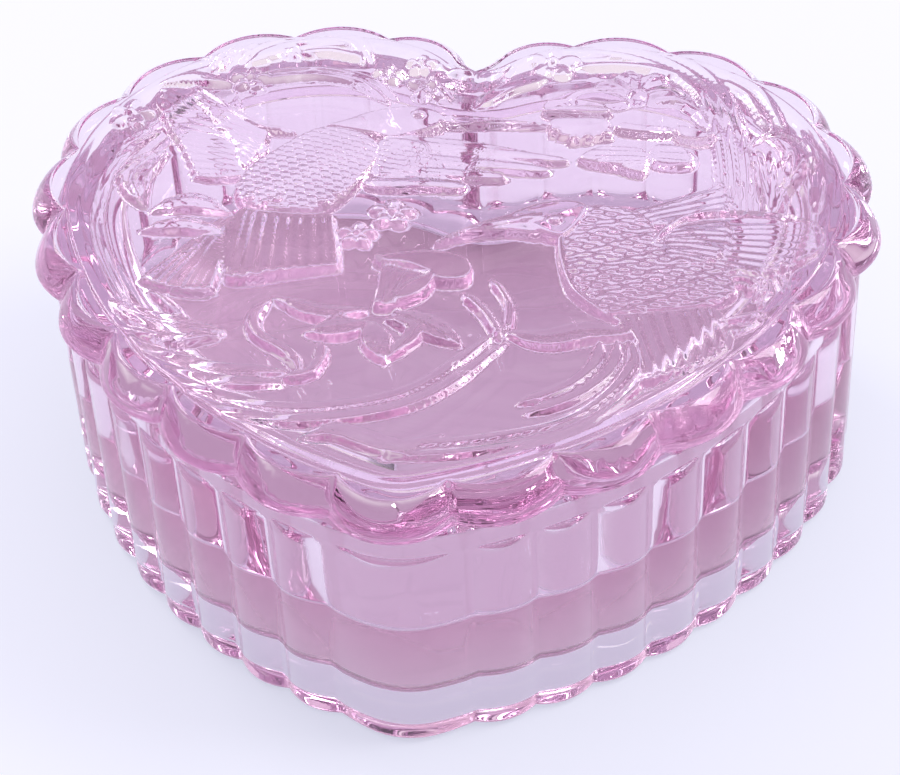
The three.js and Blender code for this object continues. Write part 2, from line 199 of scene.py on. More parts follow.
def heart_points(s, offset):
    """Points at signed distances s from the tip (negative on the left), moved outward by offset."""
    reach = np.minimum(np.abs(s), HALF_LENGTH)
    offset = np.broadcast_to(offset, reach.shape)
    points = np.zeros((len(reach), 2))
    start_length = 0
    for (centre, radius, start, end, side), length in zip(ARCS, ARC_LENGTHS):
        here = reach >= start_length - 1e-9
        angle = start + (end - start) * (reach[here] - start_length) / length
        ray = np.stack([np.cos(angle), np.sin(angle)], axis=1)
        points[here] = centre + ray * (radius + side * offset[here])[:, None]
        start_length += length
    points[:, 0] *= np.where(s < 0, -1, 1)
    return points


def bulge(s, tip_half, per_side, depth):
    """Height of a round bulge across one of the repeats that start at the tip, zero in the valleys."""
    reach = np.abs(s)
    pitch = (HALF_LENGTH - tip_half) / per_side
    phase = np.where(reach < tip_half, reach / tip_half, 2 * ((reach - tip_half) % pitch) / pitch - 1)
    return depth * (1 - np.minimum(phase ** 2, 1))


def flute_bulge(s):
    return bulge(s, TIP_FLUTE_HALF, FLUTES_PER_SIDE, FLUTE_DEPTH)


def scallop_bulge(s):
    return bulge(s, TIP_SCALLOP_HALF, SCALLOPS_PER_SIDE, SCALLOP_DEPTH)


def stations_on_valleys(tip_half, per_side, steps):
    """Stations round the whole heart that land on every valley."""
    pitch = (HALF_LENGTH - tip_half) / per_side
    tip = np.arange(steps // 2) * 2 * tip_half / steps
    side = tip_half + np.arange(per_side * steps) * pitch / steps
    right = np.concatenate([tip, side])
    return np.concatenate([right, [HALF_LENGTH], -right[:0:-1]])


def even_stations(count):
    s = 2 * HALF_LENGTH * np.arange(count) / count
    return np.where(s <= HALF_LENGTH, s, s - 2 * HALF_LENGTH)


class RingMesh:
    """A closed surface made of rings of points, each joined to the next."""

    def __init__(self):
        self.points = []
        self.faces = []
        self.count = 0

    def ring(self, s, xy, z):
        """Adds a ring of points at stations s; returns vertex numbers and shares of the way round."""
        first = self.count
        self.points.append(np.column_stack([xy, np.broadcast_to(z, len(xy))]))
        self.count += len(xy)
        shares = np.where(s < 0, 1, 0) + s / (2 * HALF_LENGTH)
        return np.arange(first, self.count), np.append(shares, 1)

    def heart_ring(self, s, offset, z):
        return self.ring(s, heart_points(s, offset), z)

    def bridge(self, a, b):
        """Joins two rings; the surface faces left of the way from a to b."""
        if len(a[0]) == len(b[0]):
            corners = [a[0], np.roll(a[0], -1), np.roll(b[0], -1), b[0]]
            self.faces.extend(np.column_stack(corners).tolist())
            return
        (va, sa), (vb, sb) = a, b
        i = j = 0
        while i < len(va) or j < len(vb):
            step_a = j >= len(vb) or (i < len(va) and sa[i] + sa[i + 1] <= sb[j] + sb[j + 1])
            third = va[(i + 1) % len(va)] if step_a else vb[(j + 1) % len(vb)]
            self.faces.append((int(va[i % len(va)]), int(third), int(vb[j % len(vb)])))
            i += 1 if step_a else 0
            j += 0 if step_a else 1

    def bridge_all(self, rings):
        for a, b in zip(rings, rings[1:]):
            self.bridge(a, b)

    def cap(self, ring, faces_up):
        order = ring[0] if faces_up else ring[0][::-1]
        self.faces.append(order.tolist())

    def close(self, ring, point):
        """Fan of triangles from a ring to one point inside it, facing up."""
        apex = self.count
        self.points.append(np.array([point]))
        self.count += 1
        following = np.roll(ring[0], -1)
        self.faces.extend((int(a), int(b), apex) for a, b in zip(ring[0], following))

    def to_object(self, name, material):
        mesh = bpy.data.meshes.new(name)
        mesh.from_pydata(np.concatenate(self.points) * MM, [], self.faces)
        mesh.validate()
        mesh.shade_smooth()
        mesh.materials.append(material)
        piece = bpy.data.objects.new(name, mesh)
        bpy.context.scene.collection.objects.link(piece)
        return piece


def quarter(steps):
    """Sine and cosine pairs over a quarter turn, both ends included."""
    angles = np.linspace(0, math.pi / 2, steps + 1)
    return zip(np.sin(angles), np.cos(angles))


def build_base(material):
    mesh = RingMesh()
    s = stations_on_valleys(TIP_FLUTE_HALF, FLUTES_PER_SIDE, FLUTE_STEPS)
    flutes = flute_bulge(s)

    def ring(offset, z):
        return mesh.heart_ring(s, offset, z)

    def wall(z, share, inset):
        return ring(DRAFT * z / BASE_HEIGHT + share * flutes - inset, z)

    foot = ring(FOOT_RING_OFFSET, 0)
    rings = [foot, ring(FOOT_RING_OFFSET + FLAT_STRIP, 0)]
    for rise, run in quarter(FOOT_STEPS):
        share = FOOT_FLUTE_SHARE + (1 - FOOT_FLUTE_SHARE) * rise
        rings.append(wall(FOOT_ROUND * (1 - run), share, FOOT_ROUND * (1 - rise)))
    shoulder_foot = FLUTE_TOP - FLUTE_SHOULDER
    heights = np.linspace(FOOT_ROUND + 2 * FLAT_STRIP, shoulder_foot - FLAT_STRIP, WALL_STEPS)
    rings += [wall(z, 1, 0) for z in heights]

    # Flute tops roll over into the plain lip, which rolls over into the rim
    wall_offset = DRAFT * shoulder_foot / BASE_HEIGHT
    for rise, run in quarter(SHOULDER_STEPS):
        root = wall_offset + (LIP_OFFSET - wall_offset) * (1 - run)
        rings.append(ring(root + flutes * run, shoulder_foot + FLUTE_SHOULDER * rise))
    rings.append(ring(LIP_OFFSET, LIP_FOOT))
    rings.append(ring(LIP_OFFSET, LIP_SHOULDER))
    for rise, run in quarter(LIP_STEPS):
        z = LIP_TOP + (BASE_HEIGHT - LIP_TOP) * rise
        rings.append(ring(RIM_OUTER + (LIP_OFFSET - RIM_OUTER) * run, z))
    for rise, run in quarter(MOUTH_STEPS):
        rings.append(ring(MOUTH_OFFSET + MOUTH_ROUND * (1 - rise), BASE_HEIGHT - MOUTH_ROUND * (1 - run)))
    for share in np.linspace(0, 1, CAVITY_STEPS + 1)[1:-1]:
        z = BASE_HEIGHT - MOUTH_ROUND + share * (FLOOR_TOP + FLOOR_FILLET - BASE_HEIGHT + MOUTH_ROUND)
        rings.append(ring(MOUTH_OFFSET + share * (FLOOR_OFFSET - MOUTH_OFFSET), z))
    for rise, run in quarter(FILLET_STEPS):
        rings.append(ring(FLOOR_OFFSET - FLOOR_FILLET * (1 - run), FLOOR_TOP + FLOOR_FILLET * (1 - rise)))
    floor = ring(FLOOR_OFFSET - FLOOR_FILLET - FLAT_STRIP, FLOOR_TOP)
    mesh.bridge_all(rings + [floor])
    mesh.cap(floor, True)

    # Hollow under the floor, inside the foot ring, with a stippled ceiling that is frosted and tinted
    # deeper as painted shade
    first = mesh.count
    ceiling = ring(RECESS_OFFSET - RECESS_ROUND - FLAT_STRIP, RECESS_DEPTH)
    last = mesh.count
    under = [ceiling]
    for rise, run in quarter(RECESS_STEPS):
        under.append(ring(RECESS_OFFSET - RECESS_ROUND * run, RECESS_DEPTH - RECESS_ROUND * (1 - rise)))
    mesh.bridge_all(under + [ring(FOOT_RING_OFFSET - RECESS_FLARE, RECESS_FLARE_HEIGHT), foot])
    mesh.cap(ceiling, False)
    piece = mesh.to_object("base_glass", material)
    # Marks the stippled ceiling for frost and for the deeper tint that is painted shade
    frost_and_painted_shade = piece.data.attributes.new("frost_and_painted_shade", "FLOAT", "POINT")
    for number in range(first, last):
        frost_and_painted_shade.data[number].value = 1
    return piece


def catmull_rom(points, steps=8):
    """Smooth path through the points, with a number of steps between each two."""
    points = np.asarray(points, float)
    padded = np.concatenate([points[:1], points, points[-1:]])
    t = np.arange(steps)[:, None] / steps
    pieces = []
    for a, b, c, d in zip(padded, padded[1:], padded[2:], padded[3:]):
        va, vb = (c - a) / 2, (d - b) / 2
        cubic = 2 * b - 2 * c + va + vb
        square = 3 * c - 3 * b - 2 * va - vb
        pieces.append(cubic * t ** 3 + square * t ** 2 + va * t + b)
    return np.concatenate(pieces + [points[-1:]])


def closed_path(points, steps=6):
    """Smooth closed path through the points."""
    points = np.asarray(points, float)
    path = catmull_rom(np.concatenate([points[-2:], points, points[:2]]), steps)
    return path[2 * steps:-(2 * steps) + steps - 1]


class Relief:
    """Heights over the lid's field at a list of points: broad forms, and fine lines on top of them."""

    def __init__(self, xy):
        self.xy = xy
        self.forms = np.zeros(len(xy))
        self.lines = np.zeros(len(xy))

    def heights(self):
        return self.forms + self.lines

    def near(self, path, reach):
        inside = (self.xy > path.min(axis=0) - reach) & (self.xy < path.max(axis=0) + reach)
        return np.flatnonzero(inside.all(axis=1))

    def distance(self, which, path):
        """Distance to the path and share of the way along it, for chosen points."""
        start, step = path[:-1], np.diff(path, axis=0)
        lengths = np.hypot(*step.T)
        offset = self.xy[which][:, None, :] - start[None]
        t = np.clip((offset * step).sum(axis=2) / np.maximum(lengths ** 2, 1e-12), 0, 1)
        gap = np.hypot(*np.moveaxis(offset - t[..., None] * step, 2, 0))
        nearest = gap.argmin(axis=1)
        row = np.arange(len(which))
        run = np.concatenate([[0], np.cumsum(lengths)])[:-1][nearest] + t[row, nearest] * lengths[nearest]
        return gap[row, nearest], run / lengths.sum()

    def raise_to(self, which, height):
        self.forms[which] = np.maximum(self.forms[which], height)

    def strand(self, points, half_width, height, shape="ribbon", edge=0.8):
        """Band along a path, flat on top, with edges rounded over a given width."""
        path = catmull_rom(points)
        which = self.near(path, half_width)
        gap, t = self.distance(which, path)
        share = STRAND_SHAPES[shape](t)
        half = half_width * share + 1e-6
        self.raise_to(which, height * np.sqrt(share) * rounded((half - gap) / np.minimum(edge, half)))

    def area(self, outline, height, edge=0.8, dome=0.0, fall=None, texture=None):
        """Raised patch, domed to its middle; fall is a point and a drop per millimetre away from it."""
        path = closed_path(outline)
        which = self.near(path, 0)
        which = which[inside_outline(self.xy[which], path)]
        gap, _ = self.distance(which, np.concatenate([path, path[:1]]))
        rise = height + dome * (gap / gap.max()) ** 0.7
        if fall is not None:
            rise = rise - fall[1] * np.hypot(*(self.xy[which] - fall[0]).T)
        if texture is not None:
            rise = rise + texture(self.xy[which])
        self.raise_to(which, np.maximum(rise, MIN_RISE) * rounded(gap / edge))

    def oval(self, x, y, length, width, turn, height, crown=0.5):
        path = np.array([[x - length / 2, y - length / 2], [x + length / 2, y + length / 2]])
        which = self.near(path, 0)
        angle = math.radians(turn)
        dx, dy = (self.xy[which] - [x, y]).T
        u = (dx * math.cos(angle) + dy * math.sin(angle)) / (length / 2)
        v = (dy * math.cos(angle) - dx * math.sin(angle)) / (width / 2)
        self.raise_to(which, height * np.clip(1 - u ** 2 - v ** 2, 0, 1) ** crown)

    def line(self, points, half_width=LINE_HALF, rise=LINE_RISE):
        """Fine ridge with hollow sides on top of the forms."""
        path = catmull_rom(points, 6)
        which = self.near(path, half_width)
        gap, t = self.distance(which, path)
        ends = np.clip(8 * np.minimum(t, 1 - t), 0, 1)
        ridge = rise * ends * np.clip(1 - gap / half_width, 0, 1) ** 2
        self.lines[which] = np.maximum(self.lines[which], ridge)

    def fan(self, count, roots, tips, half_width=LINE_HALF, rise=LINE_RISE, bead=0.0):
        """Fine lines from a row of roots to a row of tips, with a bead of given size at each tip."""
        root_line = catmull_rom(roots, 20)
        tip_line = catmull_rom(tips, 20)
        for i in range(count):
            root = root_line[round(i * (len(root_line) - 1) / (count - 1))]
            tip = tip_line[round(i * (len(tip_line) - 1) / (count - 1))]
            self.line([root, (root + tip) / 2, tip], half_width, rise)
            if bead:
                self.bead(*tip, bead)

    def bead(self, x, y, size):
        """Small round drop on top of the forms."""
        which = self.near(np.array([[x, y]]), size / 2)
        gap = np.hypot(*(self.xy[which] - [x, y]).T)
        drop = BEAD_RISE * size * np.sqrt(np.clip(1 - (2 * gap / size) ** 2, 0, 1))
        self.lines[which] = np.maximum(self.lines[which], drop)


def rounded(share):
    """Quarter-round from 0 at the outline to 1 inside."""
    return np.sqrt(1 - (1 - np.clip(share, 0, 1)) ** 2)


def inside_outline(points, path):
    """Even-odd test of points against a closed path."""
    following = np.roll(path, -1, axis=0)
    x, y = points[:, :1], points[:, 1:]
    spans = (path[:, 1] > y) != (following[:, 1] > y)
    rise = np.where(following[:, 1] == path[:, 1], 1, following[:, 1] - path[:, 1])
    cross = (following[:, 0] - path[:, 0]) * (y - path[:, 1]) / rise + path[:, 0]
    return (spans & (x < cross)).sum(axis=1) % 2 == 1


STRAND_SHAPES = {
    "ribbon": lambda t: np.minimum(1, np.minimum(5 * t, 5 * (1 - t)) + 0.35),
    "leaf": lambda t: np.sin(np.pi * (0.06 + 0.88 * t)) ** 0.75,
}


def build_lid(material):
    mesh = RingMesh()
    s = stations_on_valleys(TIP_SCALLOP_HALF, SCALLOPS_PER_SIDE, SCALLOP_STEPS)
    scallops = scallop_bulge(s)
    pitch = (HALF_LENGTH - TIP_SCALLOP_HALF) / SCALLOPS_PER_SIDE
    edge_z = LID_BOTTOM + UNDER_RISE + EDGE_ROUND

    def line_offset(stations, inset):
        dip = NOTCH_DIP * np.maximum(0, 1 - (HALF_LENGTH - np.abs(stations)) / pitch) ** 2
        return LID_OFFSET - dip - inset

    def scallop_ring(depth, z):
        return mesh.heart_ring(s, line_offset(s, depth - scallops), z)

    # Nose and dished scallops
    edge = scallop_ring(0, edge_z)
    rings = [edge]
    for rise, run in list(quarter(NOSE_STEPS))[1:]:
        depth = NOSE_DEPTH * (1 - run ** NOSE_FULLNESS)
        rings.append(scallop_ring(depth, edge_z + (LID_RIM_TOP - edge_z) * rise ** NOSE_FULLNESS))
    for share in DISH_SHARES:
        inset = NOSE_DEPTH - scallops + share * (BORDER_INSET - NOSE_DEPTH + scallops)
        flat = rounded(min(share, 1 - share) / DISH_EDGE) * np.minimum(1, 3 * scallops / SCALLOP_DEPTH)
        rings.append(mesh.heart_ring(s, line_offset(s, inset), LID_RIM_TOP - SCALLOP_DISH * flat))

    # Border with its inner slope, and the field
    rings.append(mesh.heart_ring(s, line_offset(s, BORDER_INSET), LID_RIM_TOP))
    first = mesh.count
    around = even_stations(round(2 * HALF_LENGTH / FIELD_SPACING))
    for inset in np.linspace(BORDER_INSET, FIELD_INSET, BORDER_STEPS + 1)[1:]:
        share = max(0, (inset - BORDER_FLAT) / (FIELD_INSET - BORDER_FLAT))
        slope = (LID_RIM_TOP - FIELD_TOP) * (1 + math.cos(math.pi * share)) / 2
        rings.append(mesh.heart_ring(around, line_offset(around, inset), FIELD_TOP + slope))
    for ring in range(1, FIELD_RINGS):
        scale = 1 - ring / FIELD_RINGS
        stations = even_stations(max(8, round(2 * HALF_LENGTH * scale / FIELD_SPACING)))
        outline = heart_points(stations, line_offset(stations, FIELD_INSET))
        rings.append(mesh.ring(stations, FIELD_CENTRE + (outline - FIELD_CENTRE) * scale, FIELD_TOP))
    mesh.bridge_all(rings)
    mesh.close(rings[-1], [*FIELD_CENTRE, FIELD_TOP])
    last = mesh.count

    # Underside with the rib that drops into the mouth of the base
    def level_ring(offset, z):
        return mesh.heart_ring(s, offset, z)

    rib_foot = LID_BOTTOM - RIB_DEPTH
    middle = level_ring(RIB_INNER - RIB_STRIP, LID_BOTTOM)
    under = [
        middle,
        level_ring(RIB_INNER - RIB_FILLET, LID_BOTTOM),
        level_ring(RIB_INNER, LID_BOTTOM - RIB_FILLET),
        level_ring(RIB_INNER + RIB_TAPER, rib_foot + RIB_EDGE),
        level_ring(RIB_INNER + RIB_TAPER + RIB_EDGE, rib_foot),
        level_ring(RIB_OUTER - RIB_TAPER - RIB_EDGE, rib_foot),
        level_ring(RIB_OUTER - RIB_TAPER, rib_foot + RIB_EDGE),
        level_ring(RIB_OUTER, LID_BOTTOM - RIB_FILLET),
        level_ring(RIB_OUTER + RIB_FILLET, LID_BOTTOM),
        level_ring(RIB_OUTER + RIB_STRIP, LID_BOTTOM),
        level_ring(RIM_OUTER, LID_BOTTOM),
    ]
    for rise, run in list(quarter(EDGE_STEPS))[::-1][:-1]:
        under.append(scallop_ring(EDGE_ROUND * (1 - run), edge_z - EDGE_ROUND * rise))
    mesh.bridge_all(under + [edge])
    mesh.cap(middle, False)
    piece = mesh.to_object("lid_glass", material)
    carve(piece.data, first, last)
    return piece


def carve(mesh, first, last):
    """Raises the field, vertices first to last, by its relief, on a closer mesh under the birds."""
    shape = bmesh.new()
    shape.from_mesh(mesh)
    xy = np.array([vertex.co.xy for vertex in shape.verts]) / MM
    fine = np.zeros(len(xy), bool)
    for outline in FINE_MESH:
        fine[first:last] |= inside_outline(xy[first:last], closed_path(outline))
    edges = [edge for edge in shape.edges if all(fine[vertex.index] for vertex in edge.verts)]
    bmesh.ops.subdivide_edges(shape, edges=edges, cuts=1, use_grid_fill=True)
    shape.to_mesh(mesh)
    shape.free()
    points = np.empty(3 * len(mesh.vertices))
    mesh.vertices.foreach_get("co", points)
    points = points.reshape(-1, 3)
    field = np.r_[first:last, len(xy):len(points)]
    relief = Relief(points[field, :2] / MM)
    draw_ornament(relief)
    points[field, 2] = np.maximum(points[field, 2], (FIELD_TOP + relief.heights()) * MM)
    mesh.vertices.foreach_set("co", points.ravel())
    mesh.update()


def leaf(relief, points, half_width, height):
    """Flat-topped leaf with a midrib and side veins."""
    relief.strand(points, half_width, height, "leaf", 0.6)
    relief.line(points, 0.7, 0.25)
    path = catmull_rom(points)
    for at in range(2, len(path) - 3, 3):
        forward = path[at + 2] - path[at]
        forward = forward / np.hypot(*forward)
        side = np.array([-forward[1], forward[0]])
        for turn in (-1, 1):
            end = path[at] + (forward * 0.9 + side * turn * 0.8) * half_width * 0.8
            relief.line([path[at], end], 0.5, 0.12)


def blossom(relief, x, y, radius, height, petals=5, first=90, sweep=360):
    """Round petals in a full or part circle, each with a line down its middle, round a raised eye."""
    gaps = petals if sweep == 360 else petals - 1
    for i in range(petals):
        angle = math.radians(first + sweep * i / gaps)
        middle = np.array([x, y]) + along(angle) * radius * 0.58
        relief.oval(*middle, radius * 0.9, radius * 0.72, math.degrees(angle), height, 0.4)
        relief.line([[x, y], np.array([x, y]) + along(angle) * radius * 0.85], 0.6, 0.2)
    relief.oval(x, y, radius * 0.55, radius * 0.55, 0, height + 0.45, 0.6)


def bundle(relief, points, sides, half_width, height, edge=0.8):
    """Ribbons that run side by side along one route."""
    path = catmull_rom(points, 4)
    ahead = np.gradient(path, axis=0)
    ahead /= np.hypot(*ahead.T)[:, None]
    left = np.column_stack([-ahead[:, 1], ahead[:, 0]])
    for side in sides:
        relief.strand(path + left * side, half_width, height, "ribbon", edge)


def scales(xy):
    """Small domed scales in staggered rows across the body's length."""
    turn = math.radians(SCALE_TURN)
    u = (xy[:, 0] * math.cos(turn) + xy[:, 1] * math.sin(turn)) / SCALE_WIDTH
    v = (xy[:, 1] * math.cos(turn) - xy[:, 0] * math.sin(turn)) / SCALE_ROW
    row = np.floor(v)
    u = u + 0.5 * (row % 2)
    u = u - np.floor(u) - 0.5
    v = v - row - 0.5
    return SCALE_RISE * np.clip(1 - (u / 0.52) ** 4 - (v / 0.54) ** 4, 0, 1) ** 0.5


def down(xy):
    """Short ruffled feathers: uneven bumps, longer across the body than along it."""
    waves = ((2.1, 5.2, 0), (-2.3, 4.1, 1.7), (1.2, 6.4, 4.1), (2.9, 3.1, 2.6), (-1.6, 7.3, 5.2))
    bumps = sum(np.sin(xy @ wave[:2] + wave[2]) for wave in waves)
    return DOWN_RISE * np.clip(bumps / 2, -1, 1)


def draw_left_bird(relief):
    body = [
        [-20, 25.6], [-23, 23.6], [-26, 20], [-28.6, 16.5], [-30, 13], [-30.2, 9.5],
        [-29, 6.6], [-26, 5.4], [-21, 5], [-17.4, 5.4], [-15, 8], [-13, 12],
        [-11.4, 16], [-10.8, 19], [-11.4, 22], [-13.4, 24.2], [-16.5, 25.4],
    ]
    relief.area(body, 1.1, 1.0, 0.6, None, scales)
    for x, y, size in (
        (-27.6, 7.6, 1.6), (-25.2, 6.8, 1.2), (-23.6, 7.4, 1.5), (-17.2, 7.2, 1.7), (-15.6, 9.2, 1.2),
    ):
        relief.bead(x, y, size)
    head = [
        [-20, 25.6], [-17, 28], [-14, 30], [-11, 31.2], [-8, 31.8], [-5, 31.3],
        [-2.6, 29.8], [-2.2, 28.4], [-3.6, 26.2], [-6.5, 24.4], [-10, 23], [-13, 24],
    ]
    relief.area(head, 1.0, 0.9, 0.5)
    relief.bead(-6.6, 28.8, 1.7)
    beak = [[-3, 30], [4, 29.9], [12.6, 28.9], [12.8, 28.2], [4, 27.6], [-3, 27.2]]
    relief.area(beak, 1.0, 0.7)
    relief.line([[-2, 28.8], [5, 28.8], [12, 28.6]], 0.7, 0.3)

    # Left wing: long feathers, the short ones over them and the leading edge
    wing = [
        [-29.5, 24.8], [-34, 27], [-37.5, 31], [-40, 33.6], [-45, 33.8],
        [-46, 30], [-43.5, 26], [-42, 23], [-40, 20], [-38, 16],
        [-36, 12.4], [-32.5, 12.2], [-29.8, 13.2], [-28.6, 17], [-27, 20],
    ]
    relief.area(wing, 0.75, 0.6)
    relief.fan(
        13, [[-29, 24.4], [-29, 19], [-30, 13.6]],
        [[-45, 33], [-42.6, 25], [-40, 20], [-36.4, 12.8]], 0.75, 0.2, 1,
    )
    coverts = [
        [-27.5, 24.6], [-31, 26.4], [-35, 30], [-38.5, 33.4], [-40, 31], [-38, 28.4],
        [-36.4, 26], [-34.6, 23.4], [-32, 20.2], [-31, 16.6], [-29.6, 14.6], [-28.2, 18],
    ]
    relief.area(coverts, 1.05, 0.6)
    relief.fan(
        8, [[-27.4, 23.6], [-28, 19], [-29, 15]],
        [[-39.4, 31.4], [-36.2, 26], [-32, 20.2], [-31, 16.6]], 0.7, 0.2, 1,
    )
    relief.strand([[-24, 24.2], [-29, 24.9], [-33, 27.8], [-37, 31.5], [-40.5, 34.4]], 0.8, 1.35)

    # Right wing, with stepped feather ends
    for outline in (
        [
            [-11, 23.8], [-4, 24.6], [4, 23.6], [10, 22.2],
            [15.4, 21], [15, 19.6], [8, 19.4], [-2, 20], [-11, 20],
        ],
        [[-11, 20.6], [-2, 20.4], [8, 19.6], [13.2, 18.6], [12.8, 17], [6, 17], [-2, 17], [-11, 17]],
        [[-11, 17.4], [-2, 17.4], [4, 17], [7.2, 16.4], [6.8, 14.9], [0, 14.6], [-6, 14.4], [-11, 14]],
        [[-11.6, 14.6], [-6, 14.8], [0, 14.6], [2.2, 13.8], [1.4, 12.2], [-4, 12], [-8, 11.6], [-12, 12]],
    ):
        relief.area(outline, 0.85, 0.5, 0.2)
    relief.fan(
        11, [[-10.8, 23], [-10.6, 18], [-11.6, 13]],
        [[14.6, 20.6], [12, 17.8], [6, 15.6], [0, 12.8]], 0.7, 0.18,
    )
    relief.area(
        [[-10.8, 23], [-5, 22.6], [-3.6, 20], [-4.4, 17.4], [-6.6, 15], [-10.8, 14.4]],
        1.0, 0.6, 0, None, scales,
    )

    # Tail in two sprays
    tail = [
        [-28.6, 6.4], [-22, 5.6], [-16, 6], [-14.6, 2], [-13.4, -2], [-12.8, -6],
        [-14.6, -6.8], [-20, -8.4], [-24, -9.8], [-27.8, -10.2], [-29.2, -6], [-29.6, 0],
    ]
    relief.area(tail, 1.6, 0.6, 0, ([-21, -9], 0.05))
    relief.fan(
        9, [[-28, 6], [-22, 5.4], [-16, 6]], [[-27.8, -9.6], [-20.6, -8], [-13.6, -6.2]], 0.95, 0.26, 1,
    )
    spray = [
        [-29.6, 5], [-31.5, 2], [-35, -3], [-39.6, -10], [-38, -11.6],
        [-35, -12.6], [-32.4, -13.4], [-29.4, -12.4], [-29, -6], [-28.8, 0],
    ]
    relief.area(spray, 1.1, 0.6, 0, ([-34, -12], 0.04))
    relief.fan(10, [[-30.4, 5], [-29.2, 3]], [[-39.4, -10.4], [-34.5, -12.6], [-29.4, -12]], 0.7, 0.22, 1.2)


def draw_right_bird(relief):
    body = [
        [17.5, 9], [16.4, 3], [17, -2], [18.6, -7], [20.6, -10.4], [24, -13.6], [28, -13.4],
        [33, -12], [38, -10.6], [41, -8], [40.4, -4], [37, -1], [32, 2], [30, 5], [27, 9], [22, 10.6],
    ]
    relief.area(body, 1.1, 1.0, 0.5, None, down)
    relief.strand([[17.4, 8], [16.6, 3], [17.2, -2], [18.8, -7.4], [20.8, -10.4], [24.4, -13.6]], 0.8, 1.5)
    for x, y in ((18.8, -4.6), (19.6, -6.6), (20.6, -8.4), (21.8, -9.8)):
        relief.bead(x, y, 1.3)
    head = [
        [9, 7], [11.5, 9.2], [14.5, 10.4], [18, 10.6], [20, 9],
        [19, 5], [17, 2], [14.6, 2.2], [12, 3.6], [10, 5],
    ]
    relief.area(head, 1.6, 0.9, 0.3)
    relief.bead(15.5, 5.2, 2)
    beak = [[13, 9.4], [9, 7.4], [4, 4.5], [-0.5, 0.8], [0, 0], [4, 1.8], [9, 2.9], [14.4, 3]]
    relief.area(beak, 1.3, 0.7, 0.3)
    relief.line([[14, 6], [7, 4.2], [0.5, 0.7]], 0.8, 0.4)

    # Raised wing behind, spread wing in front with its round shoulder
    back_wing = [
        [24, 8.6], [28, 10.4], [33, 13], [37.6, 16.8], [38.8, 14],
        [39.2, 11.6], [38.6, 9.6], [34, 8.4], [30, 6],
    ]
    relief.area(back_wing, 0.9, 0.6)
    relief.fan(6, [[25, 9], [29.4, 6.6]], [[37.2, 16.2], [39, 12.6], [38.2, 9.8]], 0.75, 0.22, 1)
    wing = [
        [30, 2], [31, 5.4], [34, 8], [38, 9.2], [44, 9.4], [51, 8.8],
        [52.4, 5], [51, 1], [46, -2.6], [41, -3.8], [36, -3], [32, -1.6],
    ]
    relief.area(wing, 0.9, 0.6)
    relief.fan(
        11, [[31, 5.6], [30.4, 2], [32, -1.4]],
        [[51, 8], [52, 3], [46, -2.4], [40, -3.6]], 0.75, 0.2, 1,
    )
    coverts = [[30.2, 0], [31, 4.6], [34, 7.2], [38.6, 7.6], [39.6, 4], [39, 0], [36, -2.4], [32, -1.8]]
    relief.area(coverts, 1.3, 0.6, 0.2)
    relief.fan(7, [[31, 4.6], [30.6, 1.6], [32, -1.4]], [[38.6, 7.2], [39.4, 2], [36, -2.2]], 0.7, 0.2, 1)
    shoulder = [[29.4, -1], [29.4, 2.4], [31, 5.8], [34, 8.2], [38, 9.3], [44, 9.5], [51, 8.7]]
    relief.strand(shoulder, 0.7, 1.6)
    for turn in range(3):
        reach = 1.2 + 1.3 * turn
        arc = [np.array([41.5, -6.5]) + along(math.radians(a)) * reach for a in range(-40, 221, 52)]
        relief.strand(arc, 0.6, 1.2)
    relief.fan(4, [[47.6, -7.4], [49, -7.4]], [[45.5, -1.5], [48, 0], [51.4, -2]], 0.9, 0.6)

    # Tail, and strokes at its right
    tail = [
        [24.6, -12.6], [31, -12], [38, -10.4], [40.2, -13], [41, -17], [40, -20],
        [37, -22.8], [34, -25], [30.4, -27.2], [29.2, -24], [28.4, -19], [26, -15.6],
    ]
    relief.area(tail, 1.3, 0.6, 0, ([34, -24], 0.03))
    relief.fan(
        8, [[25.4, -12.4], [31, -11.6], [37.6, -10.2]],
        [[30, -26.4], [34.6, -24.2], [40.2, -18.6]], 0.85, 0.3, 1.2,
    )
    for points in (
        [[38.6, -14.2], [41.4, -12.4], [45, -11]], [[40.8, -15.6], [43, -14], [44.6, -12.2]],
        [[39.4, -18], [40.6, -15], [42.4, -14]], [[46, -18.2], [48, -16.6], [50, -14.8]],
    ):
        relief.strand(points, 0.7, 1.1)


